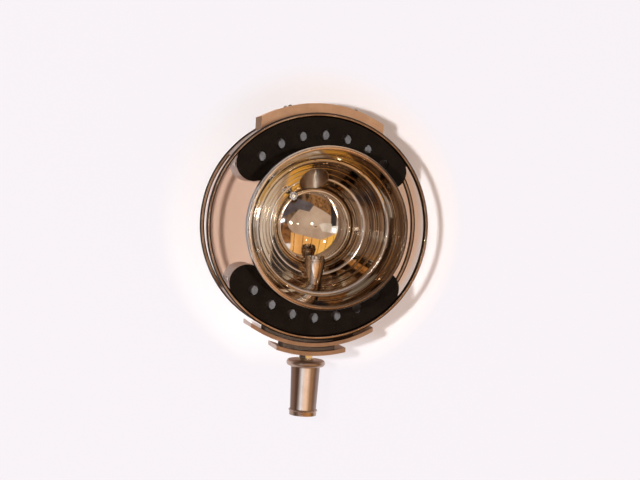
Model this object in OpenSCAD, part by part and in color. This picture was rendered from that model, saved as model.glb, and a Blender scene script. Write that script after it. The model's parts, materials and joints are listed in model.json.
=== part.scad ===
// Front lamp of an early motor vehicle: an acetylene gas lamp on a short swivel post.
// The foot of the post is the origin, +Z is up and the lamp shines towards -Y.
// The head is drawn lying down, its axis along +Z, and stood up by in_head().

/* [Post] */
// Length of the tapered tube
tube_length = 65; // [50:1:110]
// Outer radius of the tube at its top
tube_top_r = 19.5; // [17.5:0.1:22]
// Outer radius of the tube's straight foot
tube_foot_r = 17.6; // [16.5:0.1:18.5]
// Radius of the socket in the foot of the tube
socket_r = 15; // [12:0.1:15.5]
// Depth of the socket
socket_depth = 42; // [30:1:42]
// Radius of the collar's flange
collar_r = 26; // [23:0.5:32]
// Thickness of the collar's flange
collar_flange = 9; // [5:0.1:11]
// Height of the collar's neck under its flange
collar_neck = 1; // [0.6:0.1:6]

/* [Swivel] */
// Radius of the pivot bolt
bolt_r = 5; // [3.5:0.1:6]
// Running clearance between bolt and bush
bush_play = 0.05; // [0.02:0.01:0.1]
// Wall of the bush
bush_wall = 2; // [1.2:0.1:3]
// Height of the locknut above the collar
locknut_height = 6.5; // [4:0.1:12]
// Radius of the locknut across its corners
locknut_r = 10; // [8:0.1:13]
// Thickness of the thrust washer
washer_thick = 1.4; // [0.8:0.1:3]

/* [Hoops] */
// Outer radius of both hoops
hoop_radius = 150; // [146:1:160]
// Thickness of the hoop's rod
hoop_rod = 5.6; // [4:0.1:7]
// Distance between the centres of the two hoops
hoop_spacing = 61; // [56:1:75]

/* [Galleries] */
// Inner radius of the crescent boxes
gallery_inner_r = 96.4; // [95:0.1:102]
// Angle from the middle to where a box's round end is centred
gallery_reach = 49.4; // [45:0.1:52]
// Sheet thickness of the boxes
gallery_wall = 1.6; // [1:0.1:2.5]
// Thickness of the black front plates
plate_thick = 2; // [1:0.1:3]
// Number of holes in a front plate
hole_count = 7; // [3:2:7]
// Radius of the front plate's holes
hole_r = 6.5; // [3:0.1:7.5]
// Angle between two holes
hole_pitch = 14.5; // [11:0.1:15]
// Space between a front plate and the baffle behind it
baffle_gap = 13; // [3:0.1:13.5]

/* [Hood and shoes] */
// Height of the hood above the gallery
hood_height = 15; // [9:0.5:22]
// Half of the hood's width
hood_half = 83; // [60:1:95]
// Half of the inner shoe's width
inner_shoe_half = 83; // [65:1:100]
// Half of the outer shoe's width
outer_shoe_half = 47; // [40:1:60]
// Thickness of the inner shoe
inner_shoe_thick = 5; // [2:0.1:7]
// Thickness of the outer shoe
outer_shoe_thick = 5.5; // [2:0.1:8]
// Height of the pad between gallery and inner shoe
inner_pad_height = 7; // [3:0.1:12]
// Height of the pad between the two shoes
outer_pad_height = 6.5; // [3:0.1:12]

/* [Lamp body] */
// Angle by which the lamp body sits turned in its frame
body_turn = 2.7; // [-4:0.1:4]
// Gap between the body and the galleries at the middle between the hoops
body_gap = 14.4; // [12:0.1:16]
// Taper of the body's side to its axis
body_taper = 9.2; // [7:0.1:10]
// Sheet thickness of the body
body_wall = 1.5; // [1:0.1:2]
// Angle that each bridge between body and frame spans to either side
bridge_reach = 24; // [20:0.5:30]

/* [Reflector] */
// Outer radius of the front rim
rim_radius = 105.8; // [104:0.1:110]
// Distance of the rim's front from the middle between the hoops
rim_front = 86; // [80:0.5:95]
// Width of the rim's front face
rim_width = 5.8; // [4.5:0.1:7]
// Length of the rim's skirt
rim_skirt = 14.4; // [8:0.1:15]
// Sheet thickness of the bowl
bowl_wall = 1.2; // [0.8:0.1:1.6]
// Focal length of the bowl's curve
focal_length = 23.5; // [22.5:0.1:25]
// Radius of the dome in the middle
dome_radius = 47.5; // [44:0.1:48]
// Height of the dome above its seat
dome_height = 8.5; // [6:0.5:16]
// Sheet thickness of the dome
dome_wall = 1.2; // [0.8:0.1:2]

/* [Burner and flue] */
// Outer radius of the flue tube
flue_r = 19.5; // [14:0.1:21]
// Distance of the flue's axis in front of the middle between the hoops
flue_forward = 19; // [16:0.5:22]
// Radius of the burner post at its top
post_r = 11.5; // [8:0.1:13]
// Distance of the burner's axis in front of the middle between the hoops
post_forward = 31; // [30:0.5:32]
// Drop of the burner post's top below the lamp's axis
post_drop = 45; // [44:0.5:56]
// Distance of burner and flue to the right of the lamp's middle
burner_side = -5.5; // [-6:0.5:6]
// Radius of the gas pipe
pipe_r = 3; // [2:0.1:4]

/* [Hidden] */
$fn = 120;

// Clearances shared by pieces that fit together
seat_play = 0.1;
plate_play = 0.2;
bolt_play = 0.2;

// Radii outwards from the hoops, through shoes and swivel, to the height of the lamp
gallery_setback = 2;
gallery_lap = 18;
gallery_outer_r = hoop_radius - gallery_setback;
inner_shoe_r = gallery_outer_r + inner_pad_height;
inner_shoe_outer_r = inner_shoe_r + inner_shoe_thick;
outer_shoe_r = inner_shoe_outer_r + outer_pad_height;
outer_shoe_outer_r = outer_shoe_r + outer_shoe_thick;
locknut_drop = outer_shoe_outer_r + locknut_height;
washer_drop = locknut_drop + washer_thick;
collar_height = collar_flange + collar_neck;
collar_top = tube_length + collar_height;
lamp_height = collar_top + seat_play + washer_drop;

// Depths along the head's axis, forwards positive
hoop_plane = hoop_spacing / 2;
gallery_face = hoop_plane - hoop_rod / 2;
baffle_thick = 1.2;
baffle_face = gallery_face - baffle_gap;
shoe_front = gallery_face - 0.7;
shoe_back = -gallery_face - 2;
hood_front = gallery_face - 10;
hood_back = -gallery_face + 1.7;
hood_skin = 1.6;
hood_r = gallery_outer_r + hood_height;
pad_front = 12;
pad_back = -20;
pad_inset = 23;

// Front plates
plate_outer_r = hoop_radius - hoop_rod - plate_play;
plate_inner_r = gallery_inner_r + plate_play;
box_outer_r = hoop_radius - hoop_rod;
hole_circle_r = (gallery_inner_r + box_outer_r) / 2 + 0.6;
wall_end_angle = gallery_reach + 3.6;

// Swivel inside the tube
swivel_nut_r = 8.6;
swivel_nut_height = 6;
spring_washer_thick = 1.8;
spigot_length = 10;
chamber_r = socket_r - 1.5;
spigot_bottom = tube_length - spigot_length;
bolt_head_r = 9;
bolt_head_height = 6;
bolt_tail = 2;
bush_r = bolt_r + bush_play + bush_wall;

// Reflector curve: a parabola with a step near its mouth and a flat floor under the dome
curve_depth = 25;
function bowl_f(r) = r * r / (4 * focal_length) - curve_depth;
rim_face = 2.6;
mouth_r = rim_radius - rim_width;
mouth_f = rim_front - rim_face;
flange_r = rim_radius - 2.4;
step_outer_r = mouth_r - 12;
step_inner_r = step_outer_r - 4.5;
step_height = 2.8;
step_f = bowl_f(step_inner_r) + step_height;
floor_f = 1;
floor_r = sqrt(4 * focal_length * (floor_f + curve_depth));
floor_hole_r = 40;
dome_flange_r = floor_r - plate_play;
dome_flange_thick = 1.2;
bead_big = 1.7;
bead_small = 0.7;
main_bead_at = 0.41;
fine_beads_at = [0.205, 0.63, 0.82];
function bead_r(share) = floor_r + share * (step_inner_r - floor_r);

// Body outline
body_waist_r = gallery_inner_r - body_gap;
body_front_f = mouth_f - bowl_wall;
body_rim_f = body_front_f - rim_skirt - 3;
shoulder_f = body_rim_f - 22;
body_round = 14;
body_tail_f = -14;
body_back_f = body_tail_f - body_round;
tail_seam_f = -5;
function body_r(f) = body_waist_r + f * tan(body_taper);
function smooth(t) = t * t * (3 - 2 * t);
tail_r = body_r(body_tail_f);
opening_r = tail_r - body_round - 6;
cover_r = opening_r + 5;
cover_sheet = 1.4;
cover_rise = 5;
cover_flat = 12;
core_r = dome_radius / 2;
outside_r = hoop_radius - 10;
bridge_front = 44;
bridge_back = -12;

// Ways for gas and air between body and galleries
flue_top = gallery_inner_r - 4;
duct_r = 12;
duct_forward = 8;
inlet_r = 6;
inlet_x = 20;
inlet_forward = 2;

// Burner and gas pipe
post_foot_r = post_r - 1;
post_bottom = gallery_inner_r - 1.2;
post_taper_start = 72;
cap_height = 3.4;
cap_lap = 2.6;
burner_bore = 4;
jet_spread = 6.4;
pipe_drop = gallery_inner_r - 4.9;
pipe_back = -36;
nipple_length = 18;

// Ring that holds the dome's flange
collar_bead = 1.5;
collar_bead_r = dome_radius + 0.3 + collar_bead;

// Stands the head up on the post
module in_head() {
    translate([0, 0, lamp_height]) rotate([90, 0, 0]) children();
}

// The lamp body sits a little turned in its frame
module in_body() {
    in_head() rotate([0, 0, body_turn]) children();
}

// Turns an upper shape into the lower one
module below() {
    mirror([0, 1, 0]) children();
}

// Flat sector that opens upwards, for cutting rings
module wedge(half_angle) {
    reach = 400;
    polygon([for (a = [-1, -1/3, 1/3, 1]) [reach * sin(a * half_angle), reach * cos(a * half_angle)],
             [0, 0]]);
}

module ring(inner, outer) {
    difference() {
        circle(outer);
        circle(inner);
    }
}

module arc_band(inner, outer, half_angle) {
    intersection() {
        ring(inner, outer);
        wedge(half_angle);
    }
}

// Crescent with round ends, as wide as inner to outer, its ends centred at +-reach
module crescent(inner, outer, reach) {
    middle = (inner + outer) / 2;
    arc_band(inner, outer, reach);
    for (side = [-1, 1]) rotate(-side * reach) translate([0, middle]) circle((outer - inner) / 2);
}

// Outline of a gallery box, set in from its outer faces by inset
module gallery_outline(inset) {
    crescent(gallery_inner_r + inset, box_outer_r - inset, gallery_reach);
    arc_band(box_outer_r - gallery_lap, gallery_outer_r - inset, wall_end_angle - inset * 0.4);
}

// Band of the given radii between two upright cuts at +-half, drawn above the axis
module cut_band(inner, outer, half) {
    intersection() {
        ring(inner, outer);
        translate([-half, 0]) square([2 * half, outer + 1]);
    }
}

// Extrudes a flat outline from depth back to depth front
module slab(back, front) {
    translate([0, 0, back]) linear_extrude(front - back) children();
}

// Upright bar through the head, from low to high above the axis, at a depth forward of the middle
module upright(r, low, high, forward, side = 0) {
    translate([side, low, forward]) rotate([-90, 0, 0]) cylinder(r = r, h = high - low);
}

// Holes through a gallery's outer wall, a row round the head's axis
module wall_holes(r, pitch, depth) {
    for (i = [-3:3]) rotate(i * pitch) upright(r, gallery_outer_r - 6, gallery_outer_r + 3, depth);
}

module gallery_box() {
    difference() {
        slab(-gallery_face, gallery_face) gallery_outline(0);
        slab(-gallery_face + gallery_wall, gallery_face + 1) gallery_outline(gallery_wall);
    }
}

module front_plate() {
    color([0.03, 0.025, 0.02]) slab(gallery_face, gallery_face + plate_thick) difference() {
        crescent(plate_inner_r, plate_outer_r, gallery_reach);
        for (i = [0:hole_count - 1])
            rotate((i - (hole_count - 1) / 2) * hole_pitch) translate([0, hole_circle_r]) circle(hole_r);
    }
}

// The baffle's own holes stand between those of the plate in front of it
module baffle() {
    inset = gallery_wall + plate_play;
    color([0.55, 0.55, 0.56]) slab(baffle_face - baffle_thick, baffle_face) difference() {
        crescent(gallery_inner_r + inset, box_outer_r - inset, gallery_reach);
        for (i = [0:hole_count - 2])
            rotate((i + 1 - hole_count / 2) * hole_pitch)
                translate([0, hole_circle_r]) circle(hole_r * 0.6);
    }
}

// Round rod, flat on the side that lies on the galleries
module hoop() {
    color([0.62, 0.5, 0.42]) rotate_extrude() translate([hoop_radius - hoop_rod / 2, 0]) {
        circle(hoop_rod / 2, $fn = 48);
        translate([-hoop_rod / 2, -hoop_rod / 2]) square([hoop_rod, hoop_rod / 2]);
    }
}

// Small round-headed screw that stands on z = 0
module screw_head(r, h) {
    rotate_extrude($fn = 48) intersection() {
        square([r, h]);
        translate([0, h - 1.6 * r]) circle(1.6 * r);
    }
}

module stem_tube() {
    foot_height = 9;
    color([0.6, 0.52, 0.46]) difference() {
        rotate_extrude() polygon([[0, 0], [tube_foot_r, 0], [tube_foot_r, foot_height],
                                  [tube_top_r, tube_length], [0, tube_length]]);
        translate([0, 0, -1]) cylinder(r = socket_r, h = socket_depth + 1);
        cylinder(r = chamber_r, h = tube_length + 1);
    }
}

module stem_ferrule() {
    band = 0.7;
    bead = 1.2;
    bead_z = 6.6;
    height = 8;
    color([0.6, 0.52, 0.46]) rotate_extrude() translate([tube_foot_r, 0]) {
        square([band, height]);
        intersection() {
            translate([band - 0.1, bead_z]) circle(bead, $fn = 32);
            square(20);
        }
    }
}

// Flange with a rounded edge, a neck and a spigot that fills the top of the tube
module stem_collar() {
    edge = collar_flange / 2;
    neck_r = tube_top_r + 0.6;
    color([0.6, 0.48, 0.4]) difference() {
        translate([0, 0, tube_length]) rotate_extrude() {
            square([neck_r, collar_height]);
            translate([0, collar_neck]) square([collar_r - edge, collar_flange]);
            translate([collar_r - edge, collar_neck + edge]) circle(edge, $fn = 48);
            translate([0, -spigot_length]) square([chamber_r, spigot_length]);
        }
        translate([0, 0, spigot_bottom - 1]) cylinder(r = bush_r, h = collar_height + spigot_length + 2);
    }
}

module pivot_bush() {
    color([0.75, 0.58, 0.3]) translate([0, 0, spigot_bottom]) difference() {
        cylinder(r = bush_r, h = spigot_length + collar_height);
        translate([0, 0, -1]) cylinder(r = bolt_r + bush_play, h = spigot_length + collar_height + 2);
    }
}

// Head inside the lower gallery, shank down through shoes and bush, tail below the swivel nut
module pivot_bolt() {
    head_z = lamp_height - gallery_outer_r + gallery_wall + 0.4;
    tail_z = spigot_bottom - seat_play - spring_washer_thick - swivel_nut_height - bolt_tail;
    color([0.75, 0.72, 0.68]) {
        translate([0, 0, tail_z]) cylinder(r = bolt_r, h = head_z - tail_z);
        translate([0, 0, head_z]) cylinder(r = bolt_head_r, h = bolt_head_height, $fn = 6);
    }
}

module hex_nut(r, h) {
    difference() {
        intersection() {
            cylinder(r = r, h = h, $fn = 6);
            rotate_extrude() polygon([[0, 0], [r * 0.9, 0], [r, r * 0.06], [r, h - r * 0.06],
                                      [r * 0.9, h], [0, h]]);
        }
        translate([0, 0, -1]) cylinder(r = bolt_r, h = h + 2);
    }
}

module pivot_locknut() {
    color([0.85, 0.8, 0.74])
        translate([0, 0, collar_top + seat_play + washer_thick]) rotate(12)
            hex_nut(locknut_r, locknut_height);
}

module washer(r, z, h) {
    translate([0, 0, z]) difference() {
        cylinder(r = r, h = h);
        translate([0, 0, -1]) cylinder(r = bolt_r, h = h + 2);
    }
}

module thrust_washer() {
    color([0.75, 0.58, 0.3]) washer(locknut_r + 1.5, collar_top + seat_play, washer_thick);
}

module spring_washer() {
    color([0.5, 0.5, 0.52])
        washer(swivel_nut_r, spigot_bottom - seat_play - spring_washer_thick, spring_washer_thick);
}

module swivel_nut() {
    color([0.7, 0.68, 0.64])
        translate([0, 0, spigot_bottom - seat_play - spring_washer_thick - swivel_nut_height])
            hex_nut(swivel_nut_r, swivel_nut_height);
}

// Clearance hole for the pivot bolt through everything under the head's axis
module bolt_hole() {
    upright(bolt_r + bolt_play, gallery_outer_r - 8, locknut_drop, 0);
}

module shoe(inner, outer, half) {
    below() difference() {
        slab(shoe_back, shoe_front) cut_band(inner, outer, half);
        bolt_hole();
    }
}

module pad(inner, outer, half) {
    below() difference() {
        slab(pad_back, pad_front) cut_band(inner, outer, half);
        bolt_hole();
    }
}

module outer_shoe() {
    color([0.6, 0.48, 0.4]) in_head() shoe(outer_shoe_r, outer_shoe_outer_r, outer_shoe_half);
}

module inner_shoe() {
    color([0.6, 0.48, 0.4]) in_head() shoe(inner_shoe_r, inner_shoe_outer_r, inner_shoe_half);
}

module outer_pad() {
    color([0.15, 0.11, 0.09])
        in_head() pad(inner_shoe_outer_r, outer_shoe_r, outer_shoe_half - pad_inset / 2);
}

module inner_pad() {
    color([0.15, 0.11, 0.09])
        in_head() pad(gallery_outer_r, inner_shoe_r, inner_shoe_half - pad_inset);
}

module front_hoop() {
    in_head() translate([0, 0, hoop_plane]) hoop();
}

module rear_hoop() {
    in_head() mirror([0, 0, 1]) translate([0, 0, hoop_plane]) hoop();
}

// Outlets under the hood, and the way in from the flue
module upper_gallery() {
    color([0.5, 0.42, 0.36]) in_head() difference() {
        gallery_box();
        wall_holes(5, 8.5, 0);
        rotate(body_turn)
            upright(duct_r, gallery_inner_r - 4, gallery_inner_r + 6, duct_forward, burner_side);
    }
}

// Inlets in front of the pad, and two ways out to the lamp body
module lower_gallery() {
    color([0.5, 0.42, 0.36]) in_head() difference() {
        below() gallery_box();
        below() wall_holes(4, 8.5, gallery_face - 8);
        below() bolt_hole();
        rotate(body_turn) below() for (side = [-1, 1])
            upright(inlet_r, gallery_inner_r - 8, gallery_inner_r + 6, inlet_forward, side * inlet_x);
    }
}

module upper_plate() {
    in_head() front_plate();
}

module lower_plate() {
    in_head() below() front_plate();
}

module upper_baffle() {
    in_head() baffle();
}

module lower_baffle() {
    in_head() below() baffle();
}

// Front wall, curved roof and two end walls, open at the back
module vent_hood() {
    color([0.62, 0.49, 0.42]) in_head() difference() {
        slab(hood_back, hood_front) cut_band(gallery_outer_r, hood_r, hood_half);
        slab(hood_back - 1, hood_front - hood_skin)
            cut_band(gallery_outer_r - 1, hood_r - hood_skin, hood_half - hood_skin);
    }
}

module hood_screws() {
    color([0.3, 0.25, 0.2]) in_head()
        for (a = [-16, 16], depth = [hood_front, hood_back], inwards = [6 * sign(-depth)])
            rotate(a) translate([0, hood_r + seat_play, depth + inwards]) rotate([-90, 0, 0])
                screw_head(2.3, 1.7);
}

// Screws in the galleries' round ends, next to the hoops
module frame_screws() {
    middle = (gallery_inner_r + box_outer_r) / 2;
    end_r = (box_outer_r - gallery_inner_r) / 2;
    color([0.85, 0.8, 0.75]) in_head()
        for (flip = [0, 1], side = [-1, 1], end = [-1, 1]) mirror([0, flip, 0])
            rotate(-side * gallery_reach) translate([0, middle, end * (gallery_face - 7.7)])
                rotate(-side * 48) translate([0, end_r + seat_play, 0]) rotate([-90, 0, 0])
                    screw_head(2.6, 1.9);
}

// Half section of the body, from its front edge over the shoulder to the round tail
function body_outline(inset) = concat(
    [[flange_r - inset, body_front_f], [flange_r - inset, body_rim_f]],
    [for (i = [1:8]) let (t = i / 8, f = body_rim_f - t * (body_rim_f - shoulder_f))
        [body_r(f) - inset + (flange_r - body_r(body_rim_f)) * (1 - smooth(t)), f]],
    [for (i = [0:8]) let (a = i * 90 / 8)
        [tail_r - body_round + (body_round - inset) * cos(a),
         body_tail_f - (body_round - inset) * sin(a)]]);

module body_solid(inset) {
    points = body_outline(inset);
    last = points[len(points) - 1];
    rotate_extrude() polygon(concat([[0, body_front_f]], points, [[0, last.y]]));
}

// Tapered barrel, from the rim to the seam
module body_shell() {
    color([0.45, 0.38, 0.33]) in_body() difference() {
        body_solid(0);
        body_solid(body_wall);
        translate([0, 0, body_front_f - 1]) cylinder(r = flange_r - body_wall, h = 3);
        translate([0, 0, body_back_f - 1]) cylinder(r = rim_radius, h = tail_seam_f - body_back_f + 1);
        upright(flue_r + seat_play, core_r, outside_r, flue_forward, burner_side);
        below() upright(post_foot_r + seat_play, core_r, outside_r, post_forward, burner_side);
        below() for (side = [-1, 1])
            upright(inlet_r, core_r, outside_r, inlet_forward, side * inlet_x);
    }
}

// Round tail, soldered to the barrel at the seam and open for the rear cover
module body_tail() {
    color([0.45, 0.38, 0.33]) in_body() difference() {
        body_solid(0);
        body_solid(body_wall);
        translate([0, 0, tail_seam_f]) cylinder(r = rim_radius, h = body_front_f - tail_seam_f + 1);
        translate([0, 0, body_back_f - 1]) cylinder(r = opening_r, h = 5);
    }
}

// Sheet cover with a raised bead, a dished middle and a knob
module rear_cover() {
    slope_r = opening_r - cover_flat;
    dish = cover_rise + 2;
    knob_r = 8;
    color([0.5, 0.42, 0.36]) in_body() translate([0, 0, body_back_f]) mirror([0, 0, 1])
        rotate_extrude() {
            polygon([[0, dish], [slope_r - cover_rise, cover_rise], [slope_r, 0], [cover_r, 0],
                     [cover_r, cover_sheet], [slope_r + 0.6, cover_sheet],
                     [slope_r - cover_rise + 0.6, cover_rise + cover_sheet],
                     [0, dish + cover_sheet]]);
            translate([opening_r - cover_flat / 2, cover_sheet / 2]) circle(1.6, $fn = 40);
            translate([0, dish + cover_sheet / 2]) square([knob_r - 1.5, 5]);
            translate([knob_r - 1.5, dish + cover_sheet / 2 + 3]) circle(2, $fn = 40);
        }
}

module cover_screws() {
    color([0.75, 0.7, 0.65]) in_body() for (i = [0:2])
        rotate(60 + i * 120) translate([cover_r - 2.6, 0, body_back_f - cover_sheet])
            mirror([0, 0, 1]) screw_head(2.3, 1.8);
}

// Saddle between the tapered body and a gallery's inner wall
module bridge() {
    rotate([0, 0, 90 - bridge_reach]) rotate_extrude(angle = 2 * bridge_reach)
        polygon([[body_r(bridge_front), bridge_front], [gallery_inner_r, bridge_front],
                 [gallery_inner_r, bridge_back], [body_r(bridge_back), bridge_back]]);
}

// The flue ends in this saddle, and a narrower duct leads on into the gallery
module upper_bridge() {
    color([0.4, 0.33, 0.28]) in_body() difference() {
        bridge();
        upright(flue_r + seat_play, core_r, flue_top, flue_forward, burner_side);
        upright(duct_r, core_r, outside_r, duct_forward, burner_side);
    }
}

module lower_bridge() {
    color([0.4, 0.33, 0.28]) in_body() below() difference() {
        bridge();
        upright(post_foot_r + seat_play, core_r, post_bottom, post_forward, burner_side);
        translate([burner_side, pipe_drop, bridge_back - 1])
            cylinder(r = pipe_r + seat_play, h = post_forward - bridge_back);
        for (side = [-1, 1]) upright(inlet_r, core_r, outside_r, inlet_forward, side * inlet_x);
    }
}

// Inner face of the bowl, from its mouth over the step and down the parabola to the floor
function bowl_points() = concat(
    [[mouth_r, mouth_f], [step_outer_r, step_f]],
    [for (i = [0:14]) let (r = step_inner_r + i * (floor_r - step_inner_r) / 14) [r, bowl_f(r)]],
    [[floor_hole_r, floor_f]]);

function behind(points) = [for (i = [len(points) - 1:-1:0])
    [points[i].x + bowl_wall * (i == len(points) - 1 ? 0 : 1), points[i].y - bowl_wall * 0.7]];

// Point of the wall between mouth and step, t of the way down
function wall_point(t) = [mouth_r + t * (step_outer_r - mouth_r), mouth_f + t * (step_f - mouth_f)];

// Space that the bowl's inner face encloses
module bowl_space() {
    above = mouth_f + rim_skirt;
    rotate_extrude() polygon(concat([[0, above], [mouth_r, above]], bowl_points(), [[0, floor_f]]));
}

module bead(r, size) {
    translate([r, bowl_f(r) - size * 0.3]) circle(size, $fn = 32);
}

module reflector_bowl() {
    color([0.8, 0.68, 0.52]) in_body() difference() {
        rotate_extrude() {
            polygon(concat(bowl_points(), behind(bowl_points())));
            translate([mouth_r, mouth_f - bowl_wall]) square([flange_r - mouth_r, bowl_wall]);
            translate([step_outer_r - 1.6, step_f - 1.9]) circle(bead_big, $fn = 32);
            bead(bead_r(main_bead_at), bead_big);
            for (share = fine_beads_at) bead(bead_r(share), bead_small);
            translate(wall_point(0.45)) circle(bead_small, $fn = 24);
        }
        upright(flue_r, core_r, outside_r, flue_forward, burner_side);
        below() upright(post_foot_r + plate_play, core_r, outside_r, post_forward, burner_side);
    }
}

// Rounded rim with a skirt over the edge of the body
module front_bezel() {
    round = 1.3;
    skirt_wall = rim_radius - flange_r - plate_play;
    color([0.8, 0.68, 0.58]) in_body() rotate_extrude() {
        translate([mouth_r, mouth_f]) square([rim_width - round, rim_face - round]);
        translate([mouth_r + round, mouth_f]) square([rim_width - 2 * round, rim_face]);
        translate([mouth_r + round, rim_front - round]) circle(round, $fn = 32);
        translate([rim_radius - round, rim_front - round]) circle(round, $fn = 32);
        translate([rim_radius - skirt_wall, mouth_f - rim_skirt])
            square([skirt_wall, rim_skirt + rim_face - round]);
    }
}

// Part of a sphere that stands dome_height above its flange
module mirror_dome() {
    sphere_r = (dome_radius * dome_radius + dome_height * dome_height) / (2 * dome_height);
    sunk = sphere_r - dome_height;
    color([0.85, 0.78, 0.66]) in_body() translate([0, 0, floor_f]) rotate_extrude() {
        intersection() {
            translate([0, -sunk]) difference() {
                circle(sphere_r, $fn = 180);
                circle(sphere_r - dome_wall, $fn = 180);
            }
            square(sphere_r);
        }
        translate([dome_radius - dome_wall, 0])
            square([dome_flange_r - dome_radius + dome_wall, dome_flange_thick]);
    }
}

module dome_collar() {
    base = floor_f + dome_flange_thick;
    color([0.85, 0.68, 0.4]) in_body() rotate_extrude() translate([collar_bead_r, base]) {
        translate([0, collar_bead]) circle(collar_bead, $fn = 40);
        translate([-collar_bead, 0]) square([collar_bead + 0.2, collar_bead]);
    }
}

// Faceted head on a short stalk that springs from the collar
module dome_clip() {
    head_f = floor_f + 10;
    head_r = 3.8;
    color([0.9, 0.9, 0.92]) in_body() rotate(38) translate([0, collar_bead_r, 0]) {
        translate([0, 0, floor_f + dome_flange_thick + 2 * collar_bead])
            cylinder(r = 1.1, h = head_f - floor_f - dome_flange_thick - 2 * collar_bead);
        translate([0, 1.4, head_f]) rotate(20) sphere(head_r, $fn = 8);
    }
}

// Upright tube whose lower end follows the bowl
module flue_tube() {
    wall = 1.2;
    color([0.5, 0.42, 0.35]) in_body() difference() {
        upright(flue_r, core_r, flue_top, flue_forward, burner_side);
        upright(flue_r - wall, core_r - 1, flue_top + 1, flue_forward, burner_side);
        bowl_space();
    }
}

// Slightly narrower towards its foot, which ends as a plug in the lower bridge
module burner_post() {
    color([0.7, 0.58, 0.42]) in_body() difference() {
        translate([burner_side, -post_bottom, post_forward]) rotate([-90, 0, 0]) union() {
            cylinder(r = post_foot_r, h = post_bottom - post_taper_start);
            translate([0, 0, post_bottom - post_taper_start])
                cylinder(r1 = post_foot_r, r2 = post_r, h = post_taper_start - post_drop);
        }
        below() upright(burner_bore, post_drop - 1, pipe_drop + 1, post_forward, burner_side);
        below() translate([burner_side, pipe_drop, pipe_back])
            cylinder(r = pipe_r, h = post_forward - burner_bore / 2 - pipe_back);
    }
}

// Rounded ring with a low crown of teeth round its top
module burner_cap() {
    edge = cap_height / 2;
    crown_r = post_r + cap_lap - edge;
    crown_wall = 1.4;
    crown_height = 2.6;
    teeth = 14;
    tooth_gap = 1.8;
    color([0.85, 0.8, 0.72]) in_body() translate([burner_side, -post_drop, post_forward])
        rotate([-90, 0, 0]) difference() {
            rotate_extrude() {
                translate([burner_bore, 0]) square([crown_r - burner_bore, cap_height]);
                translate([crown_r, edge]) circle(edge, $fn = 40);
                translate([crown_r - crown_wall, 0]) square([crown_wall, cap_height + crown_height]);
            }
            for (i = [0:teeth - 1]) rotate((i + 0.5) * 360 / teeth)
                translate([crown_r - 2 * crown_wall, -tooth_gap / 2, cap_height])
                    cube([3 * crown_wall, tooth_gap, 2 * crown_height]);
        }
}

// Two short jets that stand in the crown
module burner_tips() {
    foot = 1.2;
    tip = 1.6;
    color([0.85, 0.82, 0.76]) in_body()
        translate([burner_side, cap_height - post_drop, post_forward])
        rotate([-90, 0, 0]) for (side = [-1, 1]) translate([side * jet_spread, 0, 0]) {
            cylinder(r = 2, h = foot);
            translate([0, 0, foot]) cylinder(r1 = 2, r2 = 1, h = tip);
        }
}

module gas_pipe() {
    bore = 1.8;
    front = post_forward - 2;
    color([0.72, 0.45, 0.3]) in_body() below() translate([burner_side, pipe_drop, pipe_back])
        difference() {
            cylinder(r = pipe_r, h = front - pipe_back);
            translate([0, 0, -1]) cylinder(r = bore, h = front - pipe_back + 2);
        }
}

// Union nut and ribbed hose end
module gas_nipple() {
    ribs = 3;
    nut_length = 7;
    color([0.75, 0.6, 0.35]) in_body() below() translate([burner_side, pipe_drop, pipe_back + 5])
        mirror([0, 0, 1]) difference() {
            union() {
                cylinder(r = pipe_r + 4, h = nut_length, $fn = 6);
                translate([0, 0, nut_length]) rotate_extrude() {
                    square([pipe_r + 0.2, nipple_length]);
                    for (i = [0:ribs - 1]) translate([0, 3 + i * 4.5])
                        polygon([[0, 0], [pipe_r + 1.6, 0], [pipe_r + 0.2, 4], [0, 4]]);
                }
            }
            translate([0, 0, -1]) cylinder(r = pipe_r, h = 6);
            translate([0, 0, -1]) cylinder(r = 1.8, h = nut_length + nipple_length + 2);
        }
}

stem_tube();
stem_ferrule();
stem_collar();
pivot_bush();
pivot_bolt();
pivot_locknut();
thrust_washer();
spring_washer();
swivel_nut();
outer_shoe();
inner_shoe();
outer_pad();
inner_pad();
front_hoop();
rear_hoop();
upper_gallery();
lower_gallery();
upper_plate();
lower_plate();
upper_baffle();
lower_baffle();
vent_hood();
hood_screws();
frame_screws();
body_shell();
body_tail();
rear_cover();
cover_screws();
upper_bridge();
lower_bridge();
reflector_bowl();
front_bezel();
mirror_dome();
dome_collar();
dome_clip();
flue_tube();
burner_post();
burner_cap();
burner_tips();
gas_pipe();
gas_nipple();
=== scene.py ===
import json
import math

import bmesh
import bpy
from mathutils import Matrix, Vector


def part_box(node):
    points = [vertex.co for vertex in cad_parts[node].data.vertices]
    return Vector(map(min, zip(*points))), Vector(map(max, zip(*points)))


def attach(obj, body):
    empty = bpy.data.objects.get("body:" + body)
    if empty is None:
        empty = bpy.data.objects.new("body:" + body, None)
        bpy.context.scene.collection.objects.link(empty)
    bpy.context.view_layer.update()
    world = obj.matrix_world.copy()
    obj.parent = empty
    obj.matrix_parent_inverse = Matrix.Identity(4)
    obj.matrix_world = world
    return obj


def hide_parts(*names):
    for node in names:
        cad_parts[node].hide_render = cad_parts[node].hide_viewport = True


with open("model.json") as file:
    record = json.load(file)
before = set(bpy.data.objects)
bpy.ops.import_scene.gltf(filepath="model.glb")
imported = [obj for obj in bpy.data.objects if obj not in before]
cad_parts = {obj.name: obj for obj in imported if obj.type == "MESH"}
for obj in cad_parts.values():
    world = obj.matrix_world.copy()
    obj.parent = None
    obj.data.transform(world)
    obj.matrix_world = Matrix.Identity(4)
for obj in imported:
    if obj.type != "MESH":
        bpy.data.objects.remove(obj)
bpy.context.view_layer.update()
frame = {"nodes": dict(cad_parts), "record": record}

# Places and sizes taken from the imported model
hoop_low, hoop_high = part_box("front_hoop")
HOOP_R = (hoop_high[0] - hoop_low[0]) / 2
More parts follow.
